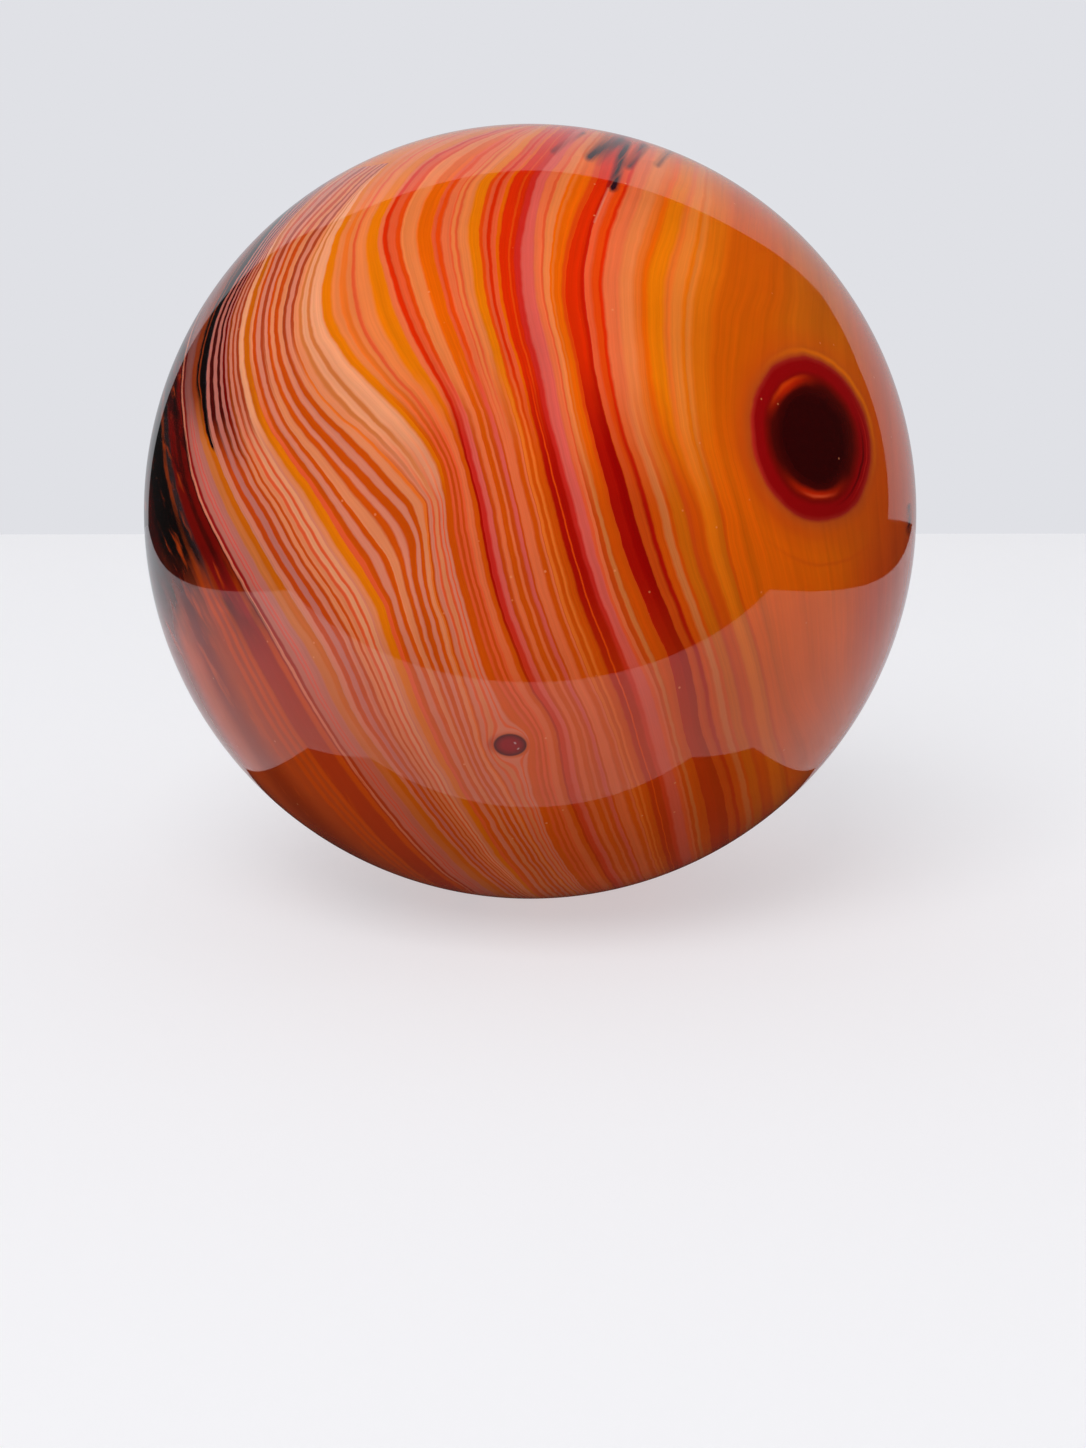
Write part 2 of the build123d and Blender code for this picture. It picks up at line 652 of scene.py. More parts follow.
            (0.489, 0.021), (0.443, 0.032), (0.389, 0.046), (0.293, 0.064), (0.186, 0.086), (0.096, 0.107),
            (0.007, 0.132), (-0.096, 0.157), (-0.2, 0.189), (-0.3, 0.232), (-0.386, 0.275), (-0.475, 0.304),
            (-0.564, 0.329), (-0.7, 0.37), (-0.85, 0.41), (-0.95, 0.44),
        ),
        (
            (0.0, 0.09, Tone.SALMON), (0.12, 0.16, Tone.CORAL), (0.21, 0.38, Tone.PEACH),
            (0.44, 0.46, Tone.ORANGE), (0.50, 0.52, Tone.TANGERINE), (0.60, 0.80, Tone.ORANGE),
            (0.90, 1.0, Tone.VERMILION),
        ),
        (
            (0.0, 0.10, Tone.SALMON), (0.16, 0.28, Tone.RUST), (0.36, 0.45, Tone.TAN),
            (0.54, 0.90, Tone.UMBER), (1.0, 1.0, Tone.RUST),
        ),
        0.07,
    ),
    Layer(
        "deep red",
        (
            (0.97, 0.23), (0.85, 0.175), (0.78, 0.155), (0.721, 0.129), (0.664, 0.107), (0.596, 0.089),
            (0.525, 0.081), (0.443, 0.0875), (0.357, 0.104), (0.25, 0.123), (0.157, 0.145), (0.086, 0.164),
            (0.007, 0.186), (-0.089, 0.214), (-0.182, 0.25), (-0.261, 0.282), (-0.329, 0.314),
            (-0.414, 0.334), (-0.489, 0.352), (-0.571, 0.379), (-0.7, 0.42), (-0.85, 0.46), (-0.95, 0.49),
        ),
        ((0.0, 0.70, Tone.SCARLET), (0.86, 0.95, Tone.FLAME), (0.99, 1.0, Tone.CRIMSON)),
        ((0.0, 0.42, Tone.BLOOD), (0.60, 0.93, Tone.CHERRY), (0.99, 1.0, Tone.RUST)),
        0.05,
        (0.42, 0.12),
    ),
    Layer(
        "salmon to amber",
        (
            (0.97, 0.27), (0.85, 0.215), (0.79, 0.195), (0.721, 0.166), (0.657, 0.143), (0.579, 0.127),
            (0.489, 0.126), (0.40, 0.136), (0.30, 0.15), (0.211, 0.171), (0.129, 0.196), (0.057, 0.218),
            (-0.029, 0.243), (-0.1, 0.268), (-0.189, 0.30), (-0.268, 0.332), (-0.321, 0.357), (-0.407, 0.379),
            (-0.489, 0.396), (-0.575, 0.429), (-0.7, 0.475), (-0.85, 0.51), (-0.95, 0.54),
        ),
        (
            (0.0, 0.06, Tone.CORAL), (0.12, 0.18, Tone.VERMILION), (0.205, 0.22, Tone.SCARLET),
            (0.28, 0.42, Tone.SALMON), (0.52, 0.62, Tone.PEACH), (0.72, 0.74, Tone.TANGERINE),
            (0.82, 0.83, Tone.ORANGE), (0.92, 1.0, Tone.AMBER),
        ),
        (
            (0.0, 0.12, Tone.RUST), (0.19, 0.22, Tone.BLOOD), (0.27, 0.36, Tone.UMBER),
            (0.43, 0.50, Tone.TAN), (0.55, 0.57, Tone.UMBER), (0.62, 0.76, Tone.OCHRE),
            (0.84, 0.85, Tone.RUST), (0.92, 1.0, Tone.UMBER),
        ),
        0.18,
        (0.34, 0.0),
    ),
    Layer(
        "amber and gold",
        (
            (0.97, 0.42), (0.85, 0.39), (0.75, 0.355), (0.65, 0.325), (0.579, 0.30), (0.5, 0.289),
            (0.4, 0.2875), (0.3, 0.296), (0.2, 0.31), (0.1, 0.343), (0.0, 0.379), (-0.1, 0.40), (-0.2, 0.437),
            (-0.3, 0.47), (-0.4, 0.50), (-0.5, 0.525), (-0.6, 0.56), (-0.8, 0.62), (-0.95, 0.66),
        ),
        (
            (0.0, 0.10, Tone.AMBER), (0.24, 0.26, Tone.TANGERINE), (0.38, 0.50, Tone.APRICOT),
            (0.60, 0.62, Tone.GOLD), (0.68, 0.70, Tone.APRICOT), (0.86, 1.0, Tone.GOLD),
        ),
        (
            (0.0, 0.06, Tone.UMBER), (0.24, 0.50, Tone.GOLD), (0.64, 0.70, Tone.OCHRE),
            (0.79, 0.80, Tone.UMBER), (0.90, 1.0, Tone.ORANGE),
        ),
        0.12,
        (0.30, -0.05),
    ),
    Layer(
        "plain orange",
        (
            (0.97, 0.50), (0.85, 0.47), (0.75, 0.455), (0.6, 0.43), (0.5, 0.40), (0.4, 0.39), (0.3, 0.390),
            (0.2, 0.397), (0.1, 0.418), (0.0, 0.45), (-0.1, 0.468), (-0.2, 0.50), (-0.3, 0.535),
            (-0.4, 0.562),
            (-0.5, 0.59), (-0.6, 0.63), (-0.8, 0.70), (-0.95, 0.74),
        ),
        ((0.0, 0.05, Tone.GOLD), (0.45, 0.55, Tone.PUMPKIN), (0.95, 1.0, Tone.PUMPKIN)),
        ((0.0, 0.20, Tone.ORANGE), (0.45, 0.50, Tone.PUMPKIN), (0.80, 1.0, Tone.ORANGE)),
        0.12,
    ),
    Layer(
        "orange rim",
        (
            (0.97, 0.60), (0.8, 0.57), (0.7, 0.55), (0.587, 0.527), (0.513, 0.513), (0.467, 0.493),
            (0.4, 0.48), (0.3, 0.465), (0.2, 0.465), (0.05, 0.50), (-0.05, 0.53), (-0.15, 0.56),
            (-0.25, 0.58), (-0.38, 0.605), (-0.45, 0.635), (-0.5, 0.67), (-0.6, 0.72), (-0.8, 0.78),
            (-0.95, 0.82),
        ),
        (
            (0.0, 0.10, Tone.PUMPKIN), (0.30, 0.45, Tone.OCHRE), (0.75, 0.80, Tone.UMBER),
            (0.95, 1.0, Tone.RUST),
        ),
        ((0.0, 0.30, Tone.ORANGE), (0.60, 0.66, Tone.RUST), (0.92, 1.0, Tone.RUST)),
        0.25,
        (0.20, -0.25),
    ),
)
RIGHT_LIMB: Points = ((0.98, 0.78), (0.5, 1.0), (0.0, 1.03), (-0.5, 1.0), (-0.98, 0.86))


@dataclass(frozen=True)
class Sliver:
    """A thin mark in or on the stone, from one (across, height) point to another."""

    start: tuple[float, float]
    end: tuple[float, float]
    half_width: float
    tone: Tone
    cover: float


SLIVERS: tuple[Sliver, ...] = (
    Sliver((0.196, 0.775), (0.238, 0.920), 0.012, Tone.PLUM, 1.0),
    Sliver((0.168, 0.880), (0.240, 0.955), 0.034, Tone.PLUM, 0.55),
    Sliver((0.146, 0.862), (0.222, 0.928), 0.014, Tone.PLUM, 0.95),
    Sliver((0.238, 0.840), (0.284, 0.915), 0.012, Tone.PLUM, 0.9),
    Sliver((0.310, 0.850), (0.352, 0.912), 0.009, Tone.PLUM, 0.65),
    Sliver((0.058, 0.874), (0.130, 0.944), 0.008, Tone.PLUM, 0.6),
    Sliver((0.945, 0.020), (0.945, -0.040), 0.010, Tone.MAROON, 0.8),
    Sliver((0.150, 0.680), (0.185, 0.770), 0.003, Tone.BLUSH, 0.6),
)


@dataclass(frozen=True)
class Eye:
    """A round eye in the stone, with rings from its middle outwards.

    A ring is (how far out, tone, cover), where 1 is the eye's own edge.
    """

    across: float
    height: float
    half_width: float
    half_height: float
    lean: float
    rings: tuple[tuple[float, Tone, float], ...]


@dataclass(frozen=True)
class Arc:
    """A soft arc round an eye: how far out and at what angle its middle lies, and how thick and long it is."""

    radius: float
    thickness: float
    angle: float
    spread: float
    tone: Tone
    cover: float


LINE_STREAKS = (  # stretch along the layers, fineness across them, darkest and palest
    (1.0, 80.0, 0.91, 1.06),
    (4.0, 240.0, 0.95, 1.035),
)
WOBBLES = ((9.0, 0.010), (34.0, 0.0035))  # fineness and reach, as shares of the radius
DUST_FINENESS = 26.0
DUST_SHARE = 0.14
RING_REACH = 2.0  # how far out an eye's rings are drawn, in widths of the eye

BIG_EYE = Eye(
    0.662, 0.180, 0.152, 0.190, 0.10,
    (
        (0.0, Tone.GARNET, 1.0), (0.50, Tone.GARNET, 1.0), (0.68, Tone.MAROON, 1.0),
        (0.76, Tone.OXBLOOD, 1.0),
        (0.84, Tone.EMBER, 1.0), (0.95, Tone.EMBER, 1.0), (1.0, Tone.WINE, 0.95), (1.05, Tone.BRICK, 0.55),
        (1.20, Tone.RUST, 0.35), (1.45, Tone.RUST, 0.0),
    ),
)
BIG_EYE_ARCS: tuple[Arc, ...] = (
    Arc(0.72, 0.11, 118.0, 50.0, Tone.SCARLET, 0.65),
    Arc(0.76, 0.05, 120.0, 40.0, Tone.VERMILION, 0.6),
    Arc(0.70, 0.09, -95.0, 60.0, Tone.SCARLET, 0.75),
    Arc(0.72, 0.035, -90.0, 30.0, Tone.CORAL, 0.6),
    Arc(0.86, 0.03, -25.0, 60.0, Tone.GARNET, 0.7),
    Arc(0.93, 0.02, -10.0, 60.0, Tone.CRIMSON, 0.5),
    Arc(1.0, 0.06, -175.0, 60.0, Tone.CRIMSON, 0.5),
    Arc(1.09, 0.05, 50.0, 100.0, Tone.GOLD, 0.95),
    Arc(1.20, 0.12, -150.0, 90.0, Tone.RUST, 0.5),
    Arc(1.55, 0.04, -90.0, 50.0, Tone.RUST, 0.4),
)
SMALL_EYE = Eye(
    -0.047, -0.527, 0.036, 0.0255, 0.0,
    (
        (0.0, Tone.EMBER, 1.0), (0.50, Tone.EMBER, 1.0), (0.85, Tone.OXBLOOD, 1.0), (1.0, Tone.MAROON, 1.0),
        (1.14, Tone.RUST, 0.5), (1.35, Tone.RUST, 0.0),
    ),
)
SMALL_EYE_ARCS: tuple[Arc, ...] = (
    Arc(1.18, 0.20, -25.0, 100.0, Tone.UMBER, 0.85),
    Arc(1.30, 0.30, 175.0, 60.0, Tone.WINE, 0.5),
    Arc(0.36, 0.10, 30.0, 25.0, Tone.FROST, 0.6),
    Arc(0.62, 0.08, -35.0, 14.0, Tone.FROST, 0.5),
)


@dataclass(frozen=True)
class BandedStone:
    """Sardonyx with a polished skin: its bands, its eyes, its smoky marks and a little dust."""

    refraction: float = 1.54
    smoothest: float = 0.030
    smudged: float = 0.075
    glow: float = 0.25
    glow_depth: float = 0.5 * MM
    eye_wrap: float = 0.038
    back_swirl: float = 0.32

    def _places(self) -> bpy.types.NodeTree:
        """Makes the group that bends the plain places on the ball into places in the stone."""
        wiring, start = new_group("stone places", {"Vector": "Vector"}, {"Place": "Vector"})
        place = start.outputs[0]
        away = wiring.parts(place)[1]
        behind = wiring.span(away, 0.0, 0.9, 0.0, 4.0 * self.back_swirl, smooth=True)
        place = wiring.shaken(place, 1.3, 1.5, behind)
        for scale, reach in WOBBLES:
            place = wiring.shaken(place, scale, 2.0, reach)
        across, away, height = wiring.parts(place)
        flat = wiring.join(across, 0.0, height)
        middle = (SMALL_EYE.across, 0.0, SMALL_EYE.height)
        outward = wiring.vector("SUBTRACT", flat, middle)
        reach = wiring.vector("DOT_PRODUCT", outward, outward, number=True)
        shrink = wiring.math("DIVIDE", self.eye_wrap**2, wiring.math("MAXIMUM", reach, self.eye_wrap**2))
        front = wiring.span(away, 0.0, -0.2)
        pull = wiring.math("MULTIPLY", wiring.math("MULTIPLY", shrink, front), -1.0)
        place = wiring.vector("ADD", wiring.join(across, away, height), wiring.scaled(outward, pull))
        return close_group(wiring, Place=place)

    def _layers(self) -> bpy.types.NodeTree:
        """Makes the group that colours every layer, from the left limb to the right one."""
        wiring, start = new_group(
            "stone layers", {"Place": "Vector"}, {"Color": "Color", "Depth": "Float"}
        )
        across, away, height = wiring.parts(start.outputs[0])
        share = wiring.span(height, -1.0, 1.0)
        drift = wiring.noise(start.outputs[0], 5.0)
        level = wiring.math("ADD", height, wiring.math("MULTIPLY_ADD", drift, 0.16, -0.08))
        colour: Socket | None = None
        depth: Socket | float = 0.0
        left = wiring.seam(share, LAYERS[0].seam)
        seams = [layer.seam for layer in LAYERS[1:]] + [RIGHT_LIMB]
        for layer, next_seam in zip(LAYERS, seams):
            right = wiring.seam(share, next_seam)
            way = wiring.span(across, left, right)
            high = wiring.ramp(way, layer.upper)
            low = wiring.ramp(way, layer.lower)
            body = wiring.mix(high, low, wiring.span(level, *layer.turn, smooth=True))
            if layer.smoky:
                body = self._smoked(wiring, body, across, away, height, layer.smoky)
            inside = wiring.math("GREATER_THAN", way, 0.0)
            colour = body if colour is None else wiring.mix(colour, body, inside)
            depth = wiring.math("MULTIPLY_ADD", way, layer.width, depth)
            left = right
        return close_group(wiring, Color=colour, Depth=depth)

    @staticmethod
    def _smoked(
        wiring: Wiring, body: Socket, across: Socket, away: Socket, height: Socket, strength: float
    ) -> Socket:
        """Drifts black smoke, with glints of rust in it, through the upper part of a layer.

        Args:
            wiring: The layers' wiring.
            body: The layer's own colour.
            across: The place's distance to the right.
            away: The place's distance from the viewer.
            height: The place's height.
            strength: How dense the smoke is.

        Returns:
            The layer's colour with smoke in it.
        """
        slant = wiring.math("MULTIPLY_ADD", height, 0.55, across)
        drift = wiring.join(
            wiring.math("MULTIPLY", slant, 16.0), wiring.math("MULTIPLY", away, 3.0),
            wiring.math("MULTIPLY", height, 2.6),
        )
        high = wiring.span(height, -0.36, -0.16, 0.0, strength, smooth=True)
        smoke = wiring.span(wiring.noise(drift, 1.0, 4.0, 0.6), 0.44, 0.60, smooth=True)
        body = wiring.mix(body, Tone.INK.linear, wiring.math("MULTIPLY", smoke, high))
        shifted = wiring.vector("ADD", drift, (7.3, 1.9, 4.1))
        glint = wiring.span(wiring.noise(shifted, 1.7, 3.0, 0.6), 0.58, 0.72, 0.0, 0.7, smooth=True)
        return wiring.mix(body, Tone.RUST.linear, glint)

    def _streaks(self) -> bpy.types.NodeTree:
        """Makes the group that draws the finest lines along the layers and clouds the colour a little."""
        wiring, start = new_group(
            "stone streaks", {"Color": "Color", "Depth": "Float", "Place": "Vector"}, {"Color": "Color"}
        )
        colour, depth, place = start.outputs[0], start.outputs[1], start.outputs[2]
        _, away, height = wiring.parts(place)
        for stretch, fine, dark, pale in LINE_STREAKS:
            sheet = wiring.join(
                wiring.math("MULTIPLY", depth, fine),
                wiring.math("MULTIPLY", away, stretch),
                wiring.math("MULTIPLY", height, stretch),
            )
            line = wiring.span(wiring.noise(sheet, 1.0, 2.0, 0.6), 0.3, 0.7, dark, pale)
            colour = wiring.mix(colour, wiring.join(line, line, line), 1.0, "MULTIPLY")
        # Towards the ball's foot the colour is mixed towards umber, so it turns darker and more orange there.
        foot = wiring.span(height, -0.10, -0.60, 0.0, 0.46, smooth=True)
        colour = wiring.mix(colour, Tone.UMBER.linear, foot)
        cloud = wiring.span(wiring.noise(place, 3.0, 3.0), 0.35, 0.65, 0.94, 1.05)
        colour = wiring.mix(colour, wiring.join(cloud, cloud, cloud), 1.0, "MULTIPLY")
        return close_group(wiring, Color=colour)

    def _eye(self, name: str, eye: Eye, arcs: tuple[Arc, ...]) -> bpy.types.NodeTree:
        """Makes the group that lays an eye over the layers.

        Args:
            name: The group's name.
            eye: The eye's place, size and rings.
            arcs: The arcs that are drawn over it.

        Returns:
            A group that takes the colour below and gives the colour with the eye.
        """
        wiring, start = new_group(name, {"Color": "Color", "Vector": "Vector"}, {"Color": "Color"})
        colour = start.outputs[0]
        across, away, height = wiring.parts(start.outputs[1])
        up = wiring.math("SUBTRACT", height, eye.height)
        side = wiring.math("MULTIPLY_ADD", up, eye.lean, wiring.math("SUBTRACT", across, eye.across))
        up = wiring.math("DIVIDE", up, eye.half_height)
        side = wiring.math("DIVIDE", side, eye.half_width)
        out = wiring.vector("LENGTH", wiring.join(side, up, 0.0), number=True)
        wobble = wiring.noise(start.outputs[1], 12.0)
        out = wiring.math("ADD", out, wiring.math("MULTIPLY_ADD", wobble, 0.08, -0.04))
        out = wiring.math("ADD", out, wiring.span(away, -0.1, 0.1, 0.0, 4.0))
        turn = wiring.math("ARCTAN2", up, side)
        reach = wiring.math("DIVIDE", out, RING_REACH)
        rings = wiring.put("ShaderNodeValToRGB")
        stops = rings.color_ramp.elements
        stops[0].position, stops[1].position = 0.0, 1.0
        for far, tone, cover in eye.rings[1:-1]:
            stops.new(far / RING_REACH).color = (*tone.linear[:3], cover)
        stops[0].color = eye.rings[0][1].linear
        far, tone, cover = eye.rings[-1]
        stops[-1].position = far / RING_REACH
        stops[-1].color = (*tone.linear[:3], cover)
        wiring.feed(rings.inputs[0], reach)
        colour = wiring.mix(colour, rings.outputs["Color"], rings.outputs["Alpha"])
        for arc in arcs:
            gap = wiring.math("ABSOLUTE", wiring.math("SUBTRACT", out, arc.radius))
            band = wiring.span(gap, arc.thickness, 0.0, smooth=True)
            off = wiring.math("SUBTRACT", turn, math.radians(arc.angle))
            off = wiring.math("ABSOLUTE", wiring.math("WRAP", off, math.pi, -math.pi))
            length = wiring.span(off, math.radians(arc.spread), 0.0, 0.0, arc.cover, smooth=True)
            colour = wiring.mix(colour, arc.tone.linear, wiring.math("MULTIPLY", band, length))
        return close_group(wiring, Color=colour)

    def _marks(self) -> bpy.types.NodeTree:
        """Makes the group that adds the smoky slivers, the small scratches and the specks of dust."""
        wiring, start = new_group("stone marks", {"Color": "Color", "Vector": "Vector"}, {"Color": "Color"})
        colour, place = start.outputs[0], start.outputs[1]
        across, away, height = wiring.parts(place)
        flat = wiring.join(across, height, 0.0)
        shown = wiring.span(away, 0.05, -0.02)
        slant = wiring.math("MULTIPLY_ADD", height, -0.7, across)
        grain = wiring.join(wiring.math("MULTIPLY", slant, 60.0), wiring.math("MULTIPLY", height, 6.0), 0.0)
        fray = wiring.math("MULTIPLY_ADD", wiring.noise(grain, 1.0, 2.0), 2.4, -0.25)
        for sliver in SLIVERS:
            begin = Vector((*sliver.start, 0.0))
            run = Vector((*sliver.end, 0.0)) - begin
            offset = wiring.vector("SUBTRACT", flat, tuple(begin))
            along = wiring.vector("DOT_PRODUCT", offset, tuple(run / run.length_squared), number=True)
            along = wiring.math("MULTIPLY", along, 1.0, clamp=True)
            nearest = wiring.vector("MULTIPLY", wiring.join(along, along, along), tuple(run))
            gap = wiring.vector("DISTANCE", offset, nearest, number=True)
            cover = wiring.span(gap, 1.5 * sliver.half_width, 0.2 * sliver.half_width, 0.0, sliver.cover)
            cover = wiring.math("MULTIPLY", wiring.math("MULTIPLY", cover, fray, clamp=True), shown)
            colour = wiring.mix(colour, sliver.tone.linear, cover)
        specks = wiring.put("ShaderNodeTexVoronoi")
        wiring.feed(specks.inputs["Vector"], place)
        wiring.feed(specks.inputs["Scale"], DUST_FINENESS)
        lucky = wiring.math("GREATER_THAN", wiring.parts(specks.outputs["Color"])[0], 1 - DUST_SHARE)
        dot = wiring.span(specks.outputs["Distance"], 0.10, 0.05, 0.0, 0.55)
        colour = wiring.mix(colour, Tone.CREAM.linear, wiring.math("MULTIPLY", dot, lucky))
        return close_group(wiring, Color=colour)

    def material(self, radius: float) -> bpy.types.Material:
        """Makes the stone's material.

        Args:
            radius: The ball's radius.

        Returns:
            The material, which reads places from the ball's own centre.
        """
        material = bpy.data.materials.new("banded stone")
        material.use_nodes = True
        wiring = Wiring(material.node_tree)
        material.node_tree.nodes.clear()
        end = wiring.put("ShaderNodeOutputMaterial")
        spot = wiring.put("ShaderNodeTexCoord").outputs["Object"]
        lean = wiring.put("ShaderNodeMapping", vector_type="POINT")
        lean.inputs["Rotation"].default_value = (VIEW_TILT, 0.0, 0.0)
        lean.inputs["Scale"].default_value = (1 / radius,) * 3
        wiring.feed(lean.inputs["Vector"], spot)
        plain = lean.outputs[0]
        places = self._use(wiring, self._places(), Vector=plain)
        layers = self._use(wiring, self._layers(), Place=places.outputs[0])
        streaks = self._use(
            wiring, self._streaks(), Color=layers.outputs[0], Depth=layers.outputs[1], Place=places.outputs[0]
        )
        colour = streaks.outputs[0]
        for name, eye, arcs in (
            ("big eye", BIG_EYE, BIG_EYE_ARCS), ("small eye", SMALL_EYE, SMALL_EYE_ARCS),
        ):
            colour = self._use(wiring, self._eye(name, eye, arcs), Color=colour, Vector=plain).outputs[0]
        colour = self._use(wiring, self._marks(), Color=colour, Vector=plain).outputs[0]
        smudge = wiring.span(
            wiring.noise(plain, 2.6, 4.0, 0.6), 0.45, 0.75, self.smoothest, self.smudged, smooth=True
        )
        skin = wiring.put("ShaderNodeBsdfPrincipled")
        wiring.feed(skin.inputs["Base Color"], colour)
        wiring.feed(skin.inputs["Roughness"], smudge)
        skin.inputs["IOR"].default_value = self.refraction
        skin.inputs["Subsurface Weight"].default_value = self.glow
        skin.inputs["Subsurface Scale"].default_value = self.glow_depth
        skin.inputs["Subsurface Radius"].default_value = (1.0, 0.35, 0.15)
        wiring.feed(end.inputs["Surface"], skin.outputs[0])
        return material

    @staticmethod
    def _use(wiring: Wiring, group: bpy.types.NodeTree, **feeds: Socket) -> bpy.types.Node:
        """Places a group in a material.

        Args:
            wiring: The material's wiring.
            group: The group to place.
            **feeds: The socket that each input is fed from.

        Returns:
            The group's node.
        """
        node = wiring.put("ShaderNodeGroup", node_tree=group)
        for name, socket in feeds.items():
            wiring.feed(node.inputs[name], socket)
        return node


@dataclass(frozen=True)
class MattePaint:
    """Plain pale paint for the desk and the board behind the ball.

    Even is how much of it looks evenly lit, and mirrored is how bright that part looks in the ball.
    """

    name: str
    colour: tuple[int, int, int]
    even: float = 0.0
    mirrored: float = 0.64

    def material(self) -> bpy.types.Material:
        """Makes the paint, which shows only on its front where part of it is evenly lit."""
        material = bpy.data.materials.new(self.name)
        material.use_nodes = True
        wiring = Wiring(material.node_tree)
        material.node_tree.nodes.clear()
        end = wiring.put("ShaderNodeOutputMaterial")
        coat = wiring.put("ShaderNodeBsdfPrincipled")
        coat.inputs["Base Color"].default_value = linear_colour(*self.colour)
        coat.inputs["Roughness"].default_value = 0.8
        coat.inputs["Specular IOR Level"].default_value = 0.1
        surface = coat.outputs[0]
        if self.even:
            glow = wiring.put("ShaderNodeEmission")
            glow.inputs["Color"].default_value = linear_colour(*self.colour)
            path = wiring.put("ShaderNodeLightPath")
            fade = wiring.span(path.outputs["Is Glossy Ray"], 0.0, 1.0, 1.0, self.mirrored)
            wiring.feed(glow.inputs["Strength"], fade)
            seen = wiring.math("MAXIMUM", path.outputs["Is Camera Ray"], path.outputs["Is Glossy Ray"])
            seen = wiring.math("MAXIMUM", seen, path.outputs["Is Transmission Ray"])
            seen = wiring.math("MULTIPLY", seen, self.even)
            lit = wiring.put("ShaderNodeMixShader")
            wiring.feed(lit.inputs[0], seen)
            wiring.feed(lit.inputs[1], surface)
            wiring.feed(lit.inputs[2], glow.outputs[0])
            surface = lit.outputs[0]
            clear = wiring.put("ShaderNodeBsdfTransparent")
            side = wiring.put("ShaderNodeNewGeometry").outputs["Backfacing"]
            choice = wiring.put("ShaderNodeMixShader")
            wiring.feed(choice.inputs[0], side)
            wiring.feed(choice.inputs[1], surface)
            wiring.feed(choice.inputs[2], clear.outputs[0])
            surface = choice.outputs[0]
        wiring.feed(end.inputs["Surface"], surface)
        return material


@dataclass
class Ball:
    """The polished stone ball."""

    centre: Vector
    radius: float
    cuts: int = 95
    island_gap: float = 0.008

    def _shell(self) -> bmesh.types.BMesh:
        """Rounds a finely cut cube into an even ball, with its six sides laid out flat for baking."""
        shell = bmesh.new()
        bmesh.ops.create_cube(shell, size=2.0)
        bmesh.ops.subdivide_edges(shell, edges=shell.edges[:], cuts=self.cuts, use_grid_fill=True)
        flat = shell.loops.layers.uv.new("OFBake")
        for face in shell.faces:
            face.smooth = True
            self._lay_flat(face, flat)
        for vert in shell.verts:
            even = Vector([math.tan(part * math.pi / 4) for part in vert.co])
            vert.co = self.centre + even.normalized() * self.radius
        bmesh.ops.recalc_face_normals(shell, faces=shell.faces[:])
        return shell

    def _lay_flat(self, face: bmesh.types.BMFace, flat: bmesh.types.BMLayerItem) -> None:
        """Gives one face its place in the layout, three sides wide and two high.

        Args:
            face: A face of the cube, before it is rounded.
            flat: The layout's layer.
        """
        middle = face.calc_center_median()
        axis = max(range(3), key=lambda number: abs(middle[number]))
        wide, high = ((2, 1), (2, 0), (1, 0))[axis]
        column, row = axis, int(middle[axis] > 0)
        room = 1 - 2 * self.island_gap
        for loop in face.loops:
            side = self.island_gap + room * (loop.vert.co[wide] + 1) / 2
            rise = self.island_gap + room * (loop.vert.co[high] + 1) / 2
            loop[flat].uv = ((column + side) / 3, (row + rise) / 2)

    def build(self, stone: BandedStone) -> bpy.types.Object:
        """Makes the ball and hangs it on its body.

        Args:
            stone: The ball's finish.

        Returns:
            The ball's object.
        """
        shell = self._shell()
        mesh = bpy.data.meshes.new("banded_ball")
        shell.to_mesh(mesh)
        shell.free()
        mesh.materials.append(stone.material(self.radius))
        ball = bpy.data.objects.new("banded_ball", mesh)
        bpy.context.scene.collection.objects.link(ball)
        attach(ball, BODY)
        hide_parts(STONE_NODE)
        LOG.info("banded_ball: %d faces, radius %.2f mm", len(mesh.polygons), self.radius / MM)
        return ball


